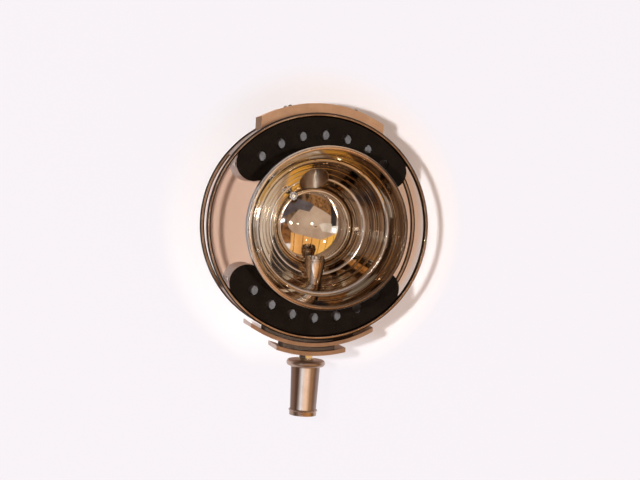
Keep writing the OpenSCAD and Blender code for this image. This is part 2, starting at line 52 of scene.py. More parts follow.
LAMP = Vector((0.0, 0.0, (hoop_low[2] + hoop_high[2]) / 2))
HOOP_ROD = hoop_high[1] - hoop_low[1]
POST_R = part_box("stem_tube")[1][0]


# Node helpers

def new_material(name):
    """A material with nodes; returns it with its tree and its shader."""
    material = bpy.data.materials.new(name)
    material.use_nodes = True
    tree = material.node_tree
    return material, tree, tree.nodes["Principled BSDF"]


def put(tree, kind, **values):
    """Adds a node and sets its properties and its unlinked inputs by name."""
    node = tree.nodes.new("ShaderNode" + kind)
    for name, value in values.items():
        if hasattr(node, name):
            setattr(node, name, value)
        else:
            node.inputs[name.replace("_", " ")].default_value = value
    return node


def join(tree, start, end):
    tree.links.new(start, end)


def feed(tree, inputs, values):
    """Links or sets inputs by sockets, colours or numbers; None leaves an input as it is."""
    for socket, value in zip(inputs, values):
        if isinstance(value, bpy.types.NodeSocket):
            join(tree, value, socket)
        elif isinstance(value, tuple):
            socket.default_value = (*value, 1.0)
        elif value is not None:
            socket.default_value = value


def math_node(tree, operation, first, second=None):
    """A Math node on sockets or numbers; returns its output."""
    node = tree.nodes.new("ShaderNodeMath")
    node.operation = operation
    feed(tree, node.inputs, (first, second))
    return node.outputs[0]


def combine(tree, x, y, z):
    """A vector of three sockets or numbers."""
    node = tree.nodes.new("ShaderNodeCombineXYZ")
    feed(tree, node.inputs, (x, y, z))
    return node.outputs[0]


def unscaled(tree):
    """Object coordinates, in metres."""
    return tree.nodes.new("ShaderNodeTexCoord").outputs["Object"]


def place(tree):
    """Object coordinates split into x, y and z, in metres."""
    split = tree.nodes.new("ShaderNodeSeparateXYZ")
    join(tree, unscaled(tree), split.inputs[0])
    return split.outputs[0], split.outputs[1], split.outputs[2]


def length(tree, first, second):
    """Length of a flat vector from its two parts."""
    return math_node(tree, "SQRT", math_node(
        tree, "ADD", math_node(tree, "MULTIPLY", first, first), math_node(tree, "MULTIPLY", second, second)))


def around_lamp(tree):
    """x, y, the height above the lamp's axis and the distance from that axis, in metres."""
    x, y, z = place(tree)
    up = math_node(tree, "SUBTRACT", z, LAMP.z)
    return x, y, up, length(tree, x, up)


def round_lamp(tree, along, across):
    """Coordinates for streaks that run round the lamp's axis: few along, many across."""
    x, y, up, radius = around_lamp(tree)
    side = math_node(tree, "MULTIPLY", math_node(tree, "DIVIDE", x, radius), along)
    height = math_node(tree, "MULTIPLY", math_node(tree, "DIVIDE", up, radius), along)
    depth = math_node(tree, "MULTIPLY", math_node(tree, "SUBTRACT", radius, y), across)
    return combine(tree, side, height, depth)


def stretched(tree, scale):
    """Object coordinates scaled by a factor for each axis."""
    mapping = put(tree, "Mapping", Scale=scale)
    join(tree, unscaled(tree), mapping.inputs["Vector"])
    return mapping.outputs[0]


def noise(tree, vector, scale, detail=4.0, roughness=0.55):
    node = put(tree, "TexNoise", Scale=scale, Detail=detail, Roughness=roughness)
    join(tree, vector, node.inputs["Vector"])
    return node.outputs["Fac"]


def ramp(tree, value, stops):
    """A colour ramp from (position, colour) pairs."""
    node = tree.nodes.new("ShaderNodeValToRGB")
    join(tree, value, node.inputs[0])
    elements = node.color_ramp.elements
    while len(elements) < len(stops):
        elements.new(0.5)
    for element, (position, colour) in zip(elements, stops):
        element.position = position
        element.color = (*colour, 1.0)
    return node.outputs[0]


def spread(tree, value, low, high, start=0.3, end=0.7):
    """Maps start..end of a value to low..high."""
    node = put(tree, "MapRange")
    join(tree, value, node.inputs["Value"])
    for name, number in (("From Min", start), ("From Max", end), ("To Min", low), ("To Max", high)):
        node.inputs[name].default_value = number
    return node.outputs[0]


def mix(tree, share, first, second, blend="MIX"):
    """Mixes two colours; each is a socket or a colour."""
    node = tree.nodes.new("ShaderNodeMix")
    node.data_type = "RGBA"
    node.blend_type = blend
    feed(tree, (node.inputs[0], node.inputs[6], node.inputs[7]), (share, first, second))
    return node.outputs[2]


def tinted(tree, colour, tint):
    """A colour multiplied by another."""
    return mix(tree, 1.0, colour, tint, "MULTIPLY")


def parts_of(material):
    """The tree of a finished metal, its shader and the socket that gives its colour."""
    tree = material.node_tree
    bsdf = tree.nodes["Principled BSDF"]
    return tree, bsdf, bsdf.inputs["Base Color"].links[0].from_socket


def relief(tree, bsdf, height, distance, edge=0.0004):
    """Bump from a height, over edges rounded by a small radius."""
    bump = put(tree, "Bump", Distance=distance, Strength=1.0)
    join(tree, height, bump.inputs["Height"])
    if edge:
        rounded = put(tree, "Bevel", samples=4, Radius=edge)
        join(tree, rounded.outputs[0], bump.inputs["Normal"])
    join(tree, bump.outputs[0], bsdf.inputs["Normal"])


# Materials: the record's finishes, and some for single nodes and pieces

# Radii of the two big beads in the bowl, whose tops the painted shade leaves out, so that they stay bright
BEAD_RINGS = (0.0634, 0.0868)
# Height of a metal's fine grain
GRIT = 0.00001


def metal(name, light, dark, roughness, grain, grit=GRIT, spots=0.0):
    """Metal whose colour drifts between two tones, with fine grain and some stain spots."""
    material, tree, bsdf = new_material(name)
    vector = grain(tree)
    patches = noise(tree, unscaled(tree), 38.0, 6.0, 0.6)
    streaks = noise(tree, vector, 1.0, 5.0, 0.65)
    colour = mix(tree, spread(tree, patches, 0.0, 1.0, 0.35, 0.65), dark, light)
    wear_and_painted_shade = mix(tree, spread(tree, streaks, 0.0, 0.2), colour, tuple(min(1, c * 1.2) for c in light))
    if spots:
        freckles = noise(tree, unscaled(tree), 420.0, 3.0, 0.7)
        stain = spread(tree, freckles, 0.0, spots, 0.6, 0.72)
        wear_and_painted_shade = mix(tree, stain, wear_and_painted_shade, tuple(c * 0.25 for c in dark))
    join(tree, wear_and_painted_shade, bsdf.inputs["Base Color"])
    bsdf.inputs["Metallic"].default_value = 1.0
    join(tree, spread(tree, streaks, roughness[0], roughness[1]), bsdf.inputs["Roughness"])
    if grit:
        relief(tree, bsdf, streaks, grit)
    return material


def lamp_grain(tree):
    return round_lamp(tree, 3.0, 2200.0)


def post_grain(tree):
    return stretched(tree, (2400.0, 2400.0, 24.0))


def even_grain(tree):
    return stretched(tree, (700.0, 700.0, 700.0))


# Plain metals: two tones, roughness, grain, height of the grain and share of stain spots
PLAIN_METALS = {
    "shoe_nickel": ((0.50, 0.36, 0.285), (0.37, 0.265, 0.205), (0.28, 0.38), lamp_grain, 0.0, 0.3),
    "flue_nickel": ((0.46, 0.34, 0.24), (0.27, 0.195, 0.135), (0.30, 0.40), even_grain, 0.0, 0.3),
    "box_nickel": ((0.40, 0.25, 0.173), (0.255, 0.16, 0.11), (0.34, 0.44), lamp_grain, 0.000004, 0.4),
    "body_nickel": ((0.48, 0.39, 0.33), (0.30, 0.23, 0.18), (0.28, 0.42), lamp_grain, GRIT, 0.4),
    "burner_brass": ((0.80, 0.62, 0.40), (0.50, 0.36, 0.20), (0.14, 0.3), post_grain, GRIT, 0.5),
    "bright_steel": ((0.82, 0.79, 0.75), (0.62, 0.57, 0.52), (0.14, 0.28), even_grain, GRIT, 0.0),
    "dark_steel": ((0.20, 0.16, 0.13), (0.10, 0.08, 0.06), (0.3, 0.5), even_grain, GRIT, 0.0),
    "copper": ((0.72, 0.40, 0.26), (0.42, 0.22, 0.14), (0.25, 0.45), even_grain, GRIT, 0.6),
}


def satin_nickel():
    """Warm satin sheet, with painted shade darkening the faces at the hood's ends."""
    material = metal("satin_nickel", (0.88, 0.61, 0.41), (0.73, 0.48, 0.31), (0.27, 0.36), lamp_grain,
                     grit=0.0, spots=0.2)
    tree, bsdf, colour = parts_of(material)
    split = tree.nodes.new("ShaderNodeSeparateXYZ")
    join(tree, tree.nodes.new("ShaderNodeTexCoord").outputs["Normal"], split.inputs[0])
    # Painted shade: faces turned to the side, the hood's ends, are darkened to near black.
    end = spread(tree, math_node(tree, "ABSOLUTE", split.outputs[0]), 0.0, 0.9, 0.64, 0.74)
    join(tree, mix(tree, end, colour, (0.10, 0.055, 0.035)), bsdf.inputs["Base Color"])
    bsdf.inputs["Specular Tint"].default_value = (0.76, 0.60, 0.48, 1.0)
    return material


def hoop_nickel():
    """Polished rod, with a painted reflection bright along its middle and dark along both edges, and painted
    shade making it duller at the right.
    """
    material, tree, bsdf = new_material("hoop_nickel")
    x, _, _, radius = around_lamp(tree)
    off = math_node(tree, "ABSOLUTE", math_node(tree, "SUBTRACT", radius, HOOP_R - HOOP_ROD / 2))
    patches = noise(tree, unscaled(tree), 30.0, 6.0, 0.6)
    bright = mix(tree, spread(tree, patches, 0.0, 1.0, 0.4, 0.6), (0.40, 0.27, 0.19), (0.66, 0.51, 0.39))
    # Painted shade: the rod is duller towards the right.
    right = spread(tree, x, 0.0, 1.0, -0.05, 0.10)
    bright = mix(tree, right, bright, tinted(tree, bright, (0.74, 0.68, 0.64)))
    # Painted reflection: both edges of the rod are darkened, and its middle stays bright.
    wander = math_node(tree, "ADD", off, math_node(tree, "MULTIPLY", patches, 0.0008))
    edge = spread(tree, wander, 0.0, 1.0, HOOP_ROD * 0.24, HOOP_ROD * 0.35)
    join(tree, mix(tree, edge, bright, (0.030, 0.020, 0.014)), bsdf.inputs["Base Color"])
    bsdf.inputs["Metallic"].default_value = 1.0
    join(tree, math_node(tree, "ADD", spread(tree, patches, 0.16, 0.24, 0.4, 0.6),
                         math_node(tree, "MULTIPLY", edge, 0.25)), bsdf.inputs["Roughness"])
    return material


def post_nickel():
    """Brown satin, a little frosted, with a painted highlight down the front and painted shade towards both
    sides.
    """
    material = metal("post_nickel", (0.95, 0.92, 0.91), (0.84, 0.78, 0.74), (0.27, 0.33), post_grain,
                     grit=0.0, spots=0.2)
    tree, bsdf, colour = parts_of(material)
    bsdf.inputs["Metallic"].default_value = 0.8
    side = spread(tree, place(tree)[0], 0.0, 1.0, -POST_R, POST_R)
    # Painted highlight and shade across the stem: dark at its left edge, bright left of its middle, darker
    # towards the right.
    painted_shading = ramp(tree, side, (
        (0.0, (0.17, 0.095, 0.06)), (0.18, (0.21, 0.12, 0.08)), (0.30, (1.0, 1.0, 1.0)),
        (0.48, (1.0, 0.99, 0.98)), (0.60, (0.36, 0.27, 0.23)), (1.0, (0.28, 0.21, 0.175))))
    join(tree, tinted(tree, colour, painted_shading), bsdf.inputs["Base Color"])
    return material


def bezel_nickel():
    """Painted highlight at one side and painted shade at the other, darker along the moulding's outer edge
    there and painted dark on the skirt.
    """
    material = metal("bezel_nickel", (0.96, 0.86, 0.76), (0.84, 0.70, 0.57), (0.24, 0.30), lamp_grain,
                     grit=0.0, spots=0.15)
    tree, bsdf, colour = parts_of(material)
    x, y, up, radius = around_lamp(tree)
    # Painted highlight and shade across the rim: bright at the left, brown to dark at the right.
    slanted = math_node(tree, "ADD", x, math_node(tree, "MULTIPLY", up, -0.45))
    side = spread(tree, slanted, 0.0, 1.0, -0.11, 0.11)
    painted_shading = ramp(tree, side, ((0.0, (1.0, 1.0, 1.0)), (0.30, (0.95, 0.73, 0.53)), (0.6, (0.52, 0.40, 0.31)),
                             (1.0, (0.20, 0.15, 0.12))))
    # Painted shade along the moulding's outer edge at the shaded side, and over the whole skirt.
    rolled = math_node(tree, "MULTIPLY", spread(tree, radius, 0.0, 1.0, RIM_R - 0.0024, RIM_R - 0.0012),
                       spread(tree, side, 0.0, 1.0, 0.5, 0.7))
    skirt = spread(tree, y, 0.0, 1.0, -MOUTH_F, -MOUTH_F + 0.001)
    painted_shade_mask = math_node(tree, "MAXIMUM", rolled, skirt)
    wear_and_painted_shade = tinted(tree, colour, painted_shading)
    join(tree, mix(tree, painted_shade_mask, wear_and_painted_shade, (0.05, 0.026, 0.016)), bsdf.inputs["Base Color"])
    return material


def unshaded_band(tree, radius, middle):
    """Near one on a ring that the painted shade leaves out, nought beside it."""
    off = math_node(tree, "ABSOLUTE", math_node(tree, "SUBTRACT", radius, middle))
    return spread(tree, off, 0.9, 0.0, 0.0012, 0.0022)


def polished_nickel():
    """Polished sheet with soft rings and patches of tone; painted shade browns it towards the right, with
    painted streaks of reflection there, and it is darker towards the top.
    """
    material, tree, bsdf = new_material("polished_nickel")
    rings = noise(tree, round_lamp(tree, 1.3, 160.0), 1.0, 2.0, 0.5)
    clouds = noise(tree, unscaled(tree), 22.0, 5.0, 0.6)
    tone = ramp(tree, math_node(tree, "MULTIPLY", math_node(tree, "ADD", rings, clouds), 0.5),
                ((0.38, (0.71, 0.63, 0.53)), (0.47, (0.83, 0.79, 0.73)), (0.54, (0.89, 0.87, 0.84)),
                 (0.64, (0.93, 0.92, 0.92))))
    x, _, up, radius = around_lamp(tree)
    # Painted shade: the sheet browns towards the right, and more so at its top and bottom.
    side = math_node(tree, "ADD", x, math_node(tree, "MULTIPLY", math_node(tree, "ABSOLUTE", up), 0.35))
    side = math_node(tree, "ADD", side, math_node(tree, "MULTIPLY", rings, 0.02))
    painted_side_shade = ramp(tree, spread(tree, side, 0.0, 1.0, -0.08, 0.11),
                   ((0.0, (1.0, 1.0, 1.0)), (0.38, (0.94, 0.89, 0.82)), (0.62, (0.55, 0.47, 0.39)),
                    (1.0, (0.34, 0.275, 0.23))))
    # Painted reflections: light and dark streaks round the axis, at the right.
    streaks = noise(tree, round_lamp(tree, 0.5, 420.0), 1.0, 3.0, 0.6)
    painted_streaks = ramp(tree, streaks,
                 ((0.40, (0.30, 0.26, 0.23)), (0.50, (1.0, 1.0, 1.0)), (0.60, (1.6, 1.6, 1.55))))
    right = spread(tree, side, 0.0, 0.9, -0.03, 0.05)
    painted_side_shade = mix(tree, right, painted_side_shade, tinted(tree, painted_side_shade, painted_streaks))
    # The painted shade leaves out the tops of the two big beads.
    unshaded_beads = math_node(tree, "ADD", *(unshaded_band(tree, radius, ring) for ring in BEAD_RINGS))
    painted_side_shade = mix(tree, unshaded_beads, painted_side_shade, (1.0, 1.0, 1.0))
    # Darker towards the top.
    darker_top = mix(tree, spread(tree, up, 0.0, 1.0, 0.05, 0.10), painted_side_shade, (0.72, 0.67, 0.63), "MULTIPLY")
    join(tree, tinted(tree, tone, darker_top), bsdf.inputs["Base Color"])
    bsdf.inputs["Metallic"].default_value = 1.0
    join(tree, spread(tree, clouds, 0.03, 0.06), bsdf.inputs["Roughness"])
    return material


def dome_mirror():
    material, tree, bsdf = new_material("dome_mirror")
    clouds = noise(tree, unscaled(tree), 40.0, 5.0, 0.6)
    tone = mix(tree, spread(tree, clouds, 0.0, 1.0), (0.80, 0.70, 0.56), (0.92, 0.87, 0.78))
    join(tree, tone, bsdf.inputs["Base Color"])
    bsdf.inputs["Metallic"].default_value = 1.0
    fine = noise(tree, unscaled(tree), 900.0, 2.0, 0.5)
    join(tree, spread(tree, clouds, 0.03, 0.08), bsdf.inputs["Roughness"])
    relief(tree, bsdf, fine, 0.000002, 0.0)
    return material


def gilt_brass():
    """Pale brass ring, with painted shade browning it at the right."""
    material = metal("gilt_brass", (0.84, 0.72, 0.56), (0.62, 0.49, 0.34), (0.12, 0.22), lamp_grain,
                     grit=0.0)
    tree, bsdf, colour = parts_of(material)
    # Painted shade: the ring is browned towards the right.
    right = spread(tree, place(tree)[0], 0.0, 1.0, -0.02, 0.02)
    brown = tinted(tree, colour, (0.42, 0.36, 0.30))
    join(tree, mix(tree, right, colour, brown), bsdf.inputs["Base Color"])
    return material


def burner_nickel():
    """Polished plating, with painted reflections in upright streaks of highlight and shade, brown and
    silver, that follow the cup's taper.
    """
    material, tree, bsdf = new_material("burner_nickel")
    x, _, z = place(tree)
    middle = LAMP.x + BURNER_SIDE * math.cos(BODY_TURN)
    up = math_node(tree, "SUBTRACT", z, LAMP.z)
    half = spread(tree, up, 1.4 * CUP_FOOT_R, CUP_R, CUP_FLARE_LOW, CUP_TOP)
    side = math_node(tree, "DIVIDE", math_node(tree, "SUBTRACT", x, middle), half)
    wander = math_node(tree, "MULTIPLY", noise(tree, stretched(tree, (900.0, 900.0, 60.0)), 1.0, 3.0), 0.16)
    side = spread(tree, math_node(tree, "ADD", side, wander), 0.0, 1.0, -0.92, 1.08)
    # Painted highlights and shade across the cup: dark at both sides, a bright streak left of the middle,
    # and brown and dark bands between.
    streaks = ramp(tree, side, (
        (0.0, (0.14, 0.08, 0.05)), (0.14, (0.34, 0.19, 0.10)), (0.24, (0.80, 0.52, 0.28)),
        (0.32, (0.40, 0.27, 0.18)), (0.41, (0.97, 0.95, 0.93)), (0.52, (0.86, 0.74, 0.63)),
        (0.66, (0.50, 0.35, 0.23)), (0.74, (0.16, 0.09, 0.05)), (0.83, (0.66, 0.40, 0.20)),
        (0.91, (0.34, 0.20, 0.11)), (1.0, (0.03, 0.02, 0.015))))
    join(tree, streaks, bsdf.inputs["Base Color"])
    bsdf.inputs["Metallic"].default_value = 0.85
    join(tree, spread(tree, wander, 0.14, 0.24, 0.05, 0.11), bsdf.inputs["Roughness"])
    return material


def clip_silver():
    """Bright plating, half frosted, so that its facets catch light from all sides."""
    material = metal("clip_silver", (0.97, 0.96, 0.95), (0.86, 0.84, 0.81), (0.08, 0.16), even_grain,
                     grit=0.0)
    parts_of(material)[1].inputs["Metallic"].default_value = 0.25
    return material


def dull_steel():
    """Dead grey sheet, matt with soot."""
    material, tree, bsdf = new_material("dull_steel")
    soot = noise(tree, unscaled(tree), 160.0, 6.0, 0.65)
    colour = mix(tree, spread(tree, soot, 0.0, 1.0), (0.22, 0.205, 0.205), (0.14, 0.13, 0.128))
    join(tree, colour, bsdf.inputs["Base Color"])
    join(tree, spread(tree, soot, 0.6, 0.8), bsdf.inputs["Roughness"])
    bsdf.inputs["Specular IOR Level"].default_value = 0.25
    relief(tree, bsdf, soot, 0.00004)
    return material


def black_enamel():
    """Glossy baked enamel with a faint orange-peel surface, dust and wiped patches."""
    material, tree, bsdf = new_material("black_enamel")
    clouds = noise(tree, unscaled(tree), 60.0, 6.0, 0.65)
    dust = noise(tree, unscaled(tree), 900.0, 2.0, 0.5)
    colour = mix(tree, spread(tree, clouds, 0.0, 1.0), (0.003, 0.0018, 0.0012), (0.007, 0.0045, 0.003))
    colour = mix(tree, spread(tree, dust, 0.0, 0.2, 0.70, 0.78), colour, (0.14, 0.12, 0.10))
    join(tree, colour, bsdf.inputs["Base Color"])
    join(tree, spread(tree, clouds, 0.07, 0.16), bsdf.inputs["Roughness"])
    bsdf.inputs["Specular IOR Level"].default_value = 0.13
    relief(tree, bsdf, noise(tree, unscaled(tree), 300.0, 2.0), 0.00001, 0.0005)
    return material


def packing():
    """Dark fibrous packing, matt, with crumbled edges."""
    material, tree, bsdf = new_material("packing")
    fibres = noise(tree, stretched(tree, (260.0, 260.0, 900.0)), 1.0, 8.0, 0.75)
    colour = mix(tree, spread(tree, fibres, 0.0, 1.0), (0.03, 0.022, 0.017), (0.16, 0.11, 0.08))
    join(tree, colour, bsdf.inputs["Base Color"])
    join(tree, spread(tree, fibres, 0.95, 0.75), bsdf.inputs["Roughness"])
    relief(tree, bsdf, fibres, 0.0008, 0.0)
    return material


def jet_ceramic():
    material, tree, bsdf = new_material("jet_ceramic")
    soot = noise(tree, unscaled(tree), 500.0, 4.0, 0.6)
    colour = mix(tree, spread(tree, soot, 0.0, 1.0, 0.45, 0.7), (0.80, 0.76, 0.68), (0.34, 0.28, 0.22))
    join(tree, colour, bsdf.inputs["Base Color"])
    join(tree, spread(tree, soot, 0.55, 0.8), bsdf.inputs["Roughness"])
    relief(tree, bsdf, soot, 0.00004)
    return material


# Nodes whose finish isn't that of their slot
OWN_FINISH = {"stem_tube": "post_nickel", "front_hoop": "hoop_nickel", "rear_hoop": "hoop_nickel",
              "outer_shoe": "shoe_nickel", "inner_shoe": "shoe_nickel", "stem_collar": "shoe_nickel",
              "stem_ferrule": "shoe_nickel", "flue_tube": "flue_nickel"}
# Edges sharper than this, in degrees, stay sharp on the nodes and on the pieces made here
NODE_EDGE, PIECE_EDGE = 25, 30


def smooth_edges(piece, degrees):
    """Smooth shading, but for edges sharper than an angle."""
    for face in piece.data.polygons:
        face.use_smooth = True
    piece.data.set_sharp_from_angle(angle=math.radians(degrees))


def dress_nodes():
    """Gives each CAD node its finish, and returns the finishes by name."""
    finishes = {name: metal(name, *finish) for name, finish in PLAIN_METALS.items()}
    for maker in (satin_nickel, hoop_nickel, post_nickel, polished_nickel, dome_mirror, gilt_brass,
                  dull_steel, black_enamel, packing, jet_ceramic):
        finishes[maker.__name__] = maker()
    for part in frame["record"]["subparts"]:
        piece = frame["nodes"][part["node"]]
        piece.data.materials.clear()
        piece.data.materials.append(finishes[OWN_FINISH.get(part["node"], part["material_slot"])])
        smooth_edges(piece, NODE_EDGE)
    return finishes


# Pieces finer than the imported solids: the reflector, its rim, the burner and the dome's fastener
# R is a radius from a piece's own axis, and F a distance in front of the middle between the hoops.

MM = 0.001
BODY_TURN = math.radians(2.7)
TURN_STEPS = 288
RIM_R, RIM_FRONT, RIM_WIDTH, RIM_FACE = 105.8 * MM, 86 * MM, 5.8 * MM, 2.6 * MM
RIM_SKIRT, SKIRT_WALL = 14.4 * MM, 2.2 * MM
MOUTH_R, MOUTH_F, FLANGE_R = RIM_R - RIM_WIDTH, RIM_FRONT - RIM_FACE, 103.4 * MM
SKIRT_CORNER = 0.5 * MM
FOCAL, CURVE_DEPTH, SHEET = 23.5 * MM, 25 * MM, 1.2 * MM
SHEET_BACK = 0.7 * SHEET
STEP_OUT_R, STEP_IN_R, STEP_HEIGHT = 88 * MM, 83.5 * MM, 2.8 * MM
FLOOR_F, FLOOR_HOLE_R = 1 * MM, 40 * MM
BIG_BEAD = (2.1 * MM, 1.6 * MM)
FAINT_BEAD = (1.6 * MM, 0.16 * MM)
CURVE_BEADS = ((0.205, FAINT_BEAD), (0.41, BIG_BEAD), (0.63, FAINT_BEAD), (0.82, FAINT_BEAD))
BEAD_BEND = 0.8
MOUTH_STEPS, LEDGE_STEPS, CURVE_STEPS, FLOOR_STEPS, BACK_STRIDE, CROWN_STEPS = 60, 8, 180, 12, 12, 32
FLUE_R, FLUE_FORWARD = 19.5 * MM, 19 * MM
FOOT_R, POST_FORWARD = 6.7 * MM, 31 * MM
CUP_FOOT_R, CUP_R, CUP_BORE_R, CUP_ROLL = 6.5 * MM, 13.4 * MM, 4 * MM, 1.8 * MM
CUP_FLARE_LOW, CUP_TOP = -76 * MM, -45.8 * MM
CUP_TEETH, CUP_TOOTH, CUP_SILL = 14, 3.6 * MM, 0.3 * MM
CROWN_OUT_R, CROWN_IN_R = CUP_R - 1.2 * MM, CUP_R - 2.6 * MM
TOOTH_PITCH, TOOTH_GAP, FLARE_STEPS, FLARE_BEND, ROLL_STEPS = 12, 4, 16, 1.6, 8
STUD_SIDES = 9
STUD_RINGS = ((2.0 * MM, 0.0), (4.2 * MM, 1.2 * MM), (6.0 * MM, 3.4 * MM), (2.4 * MM, 7.0 * MM))
BURNER_SIDE, CORE_R, OUTSIDE_R = -5.5 * MM, 24 * MM, 140 * MM


def bowl_depth(radius):
    """Distance of the reflector's curve in front of the middle between the hoops."""
    return radius * radius / (4 * FOCAL) - CURVE_DEPTH


FLOOR_R = math.sqrt(4 * FOCAL * (FLOOR_F + CURVE_DEPTH))
STEP_F = bowl_depth(STEP_IN_R) + STEP_HEIGHT


def bowl_line():
    """Inner face of the reflector from its mouth to its floor, as smooth plain points."""
    line = []
    for i in range(MOUTH_STEPS + 1):
        t = i / MOUTH_STEPS
        line.append((MOUTH_R + t * (STEP_OUT_R - MOUTH_R), MOUTH_F + t * (STEP_F - MOUTH_F)))
    for i in range(1, LEDGE_STEPS + 1):
        t = i / LEDGE_STEPS
        line.append((STEP_OUT_R + t * (STEP_IN_R - STEP_OUT_R), STEP_F - t * t * STEP_HEIGHT))
    for i in range(1, CURVE_STEPS + 1):
        radius = STEP_IN_R + i * (FLOOR_R - STEP_IN_R) / CURVE_STEPS
        line.append((radius, bowl_depth(radius)))
    for i in range(1, FLOOR_STEPS + 1):
        line.append((FLOOR_R + i * (FLOOR_HOLE_R - FLOOR_R) / FLOOR_STEPS, FLOOR_F))
    return line


def raise_beads(line, beads):
    """Lifts a line along its normal into round beads: (radius, forward, half width, height)."""
    raised = []
    for i, (radius, forward) in enumerate(line):
        before, after = line[max(i - 1, 0)], line[min(i + 1, len(line) - 1)]
        along = Vector((after[0] - before[0], after[1] - before[1])).normalized()
        normal = Vector((-along.y, along.x))
        if normal.x > 0:
            normal = -normal
        lift = 0.0
        for bead_r, bead_f, width, height in beads:
            off = math.hypot(radius - bead_r, forward - bead_f) / width
            if off < 1:
                lift = max(lift, height * (1 - off * off) ** BEAD_BEND)
        raised.append((radius + normal.x * lift, forward + normal.y * lift))
    return raised


def turned(name, outline, material):
    """Turns a closed outline of (radius, forward) points round the lamp's axis."""
    columns = []
    for step in range(TURN_STEPS):
        angle = 2 * math.pi * step / TURN_STEPS
        columns.append([(radius * math.sin(angle), -forward, LAMP.z + radius * math.cos(angle))
                        for radius, forward in outline])
    return ring_piece(name, columns, material)


def ring_piece(name, columns, material):
    """Closed surface through equal columns of points that go once round."""
    faces = []
    count = len(columns[0])
    for step in range(len(columns)):
        here, there = step * count, (step + 1) % len(columns) * count
        for i in range(count):
            j = (i + 1) % count
            faces.append((here + i, here + j, there + j, there + i))
    return new_piece(name, [point for column in columns for point in column], faces, [material])


def new_piece(name, points, faces, materials):
    """A piece that rides on the head, with its faces turned outwards."""
    mesh = bpy.data.meshes.new(name)
    mesh.from_pydata(points, [], faces)
    work = bmesh.new()
    work.from_mesh(mesh)
    bmesh.ops.recalc_face_normals(work, faces=work.faces)
    work.to_mesh(mesh)
    work.free()
    for material in materials:
        mesh.materials.append(material)
    piece = bpy.data.objects.new(name, mesh)
    bpy.context.scene.collection.objects.link(piece)
    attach(piece, "head")
    return piece


def body_axes():
    """The body's own right and up: it sits a little turned in its frame."""
    return (Vector((math.cos(BODY_TURN), 0, math.sin(BODY_TURN))),
            Vector((-math.sin(BODY_TURN), 0, math.cos(BODY_TURN))))


def bore(piece, radius, side, forward, low, high):
    """Cuts a round hole across the lamp, from low to high above its axis."""
    right, up = body_axes()
    ends = [LAMP + right * side + Vector((0, -forward, 0)) + up * height for height in (low, high)]
    work = bmesh.new()
    bmesh.ops.create_cone(work, cap_ends=True, segments=128, radius1=radius, radius2=radius,
                          depth=(ends[1] - ends[0]).length)
    mesh = bpy.data.meshes.new("cutter")
    work.to_mesh(mesh)
    work.free()
    cutter = bpy.data.objects.new("cutter", mesh)
    cutter.matrix_world = Matrix.Translation((ends[0] + ends[1]) / 2) @ Matrix.Rotation(-BODY_TURN, 4, "Y")
    bpy.context.scene.collection.objects.link(cutter)
    cut = piece.modifiers.new("bore", "BOOLEAN")
    cut.operation = "DIFFERENCE"
    cut.solver = "MANIFOLD"
    cut.object = cutter
    bpy.context.view_layer.update()
    result = bpy.data.meshes.new_from_object(piece.evaluated_get(bpy.context.evaluated_depsgraph_get()))
    piece.modifiers.clear()
    piece.data = result
    bpy.data.objects.remove(cutter)


def make_reflector(material):
    """Stepped and beaded bowl with the flue's and the burner's holes."""
    line = bowl_line()
    beads = [(STEP_OUT_R - 1.2 * MM, STEP_F - 0.4 * MM, *BIG_BEAD),
             (MOUTH_R + 0.45 * (STEP_OUT_R - MOUTH_R), MOUTH_F + 0.45 * (STEP_F - MOUTH_F), *FAINT_BEAD)]
    for share, bead in CURVE_BEADS:
        radius = FLOOR_R + share * (STEP_IN_R - FLOOR_R)
        beads.append((radius, bowl_depth(radius), *bead))
    inner = raise_beads(line, beads)
    outer = [(radius + SHEET, forward - SHEET_BACK)
             for radius, forward in line[-1 - FLOOR_STEPS::-BACK_STRIDE]]
    outline = (inner + [(FLOOR_HOLE_R, FLOOR_F - SHEET_BACK)] + outer
               + [(FLANGE_R, MOUTH_F - SHEET), (FLANGE_R, MOUTH_F)])
    bowl = turned("bowl_sheet", outline, material)
    bore(bowl, FLUE_R, BURNER_SIDE, FLUE_FORWARD, CORE_R, OUTSIDE_R)
    bore(bowl, FOOT_R, BURNER_SIDE, POST_FORWARD, -OUTSIDE_R, -CORE_R)
    smooth_edges(bowl, PIECE_EDGE)
    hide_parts("reflector_bowl")


def make_rim(material):
    """Half-round moulding round the mouth, with a skirt over the body's edge."""
    crown = []
    for i in range(CROWN_STEPS + 1):
        turn = math.pi * i / CROWN_STEPS
        crown.append((MOUTH_R + RIM_WIDTH / 2 - math.cos(turn) * RIM_WIDTH / 2,
                      MOUTH_F + RIM_FACE * math.sin(turn)))
    skirt_f = MOUTH_F - RIM_SKIRT
    skirt = [(RIM_R, skirt_f + SKIRT_CORNER), (RIM_R - SKIRT_CORNER, skirt_f),
             (RIM_R - SKIRT_WALL, skirt_f), (RIM_R - SKIRT_WALL, MOUTH_F)]
    rim = turned("rim_moulding", crown + skirt, material)
    smooth_edges(rim, PIECE_EDGE)
    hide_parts("front_bezel")


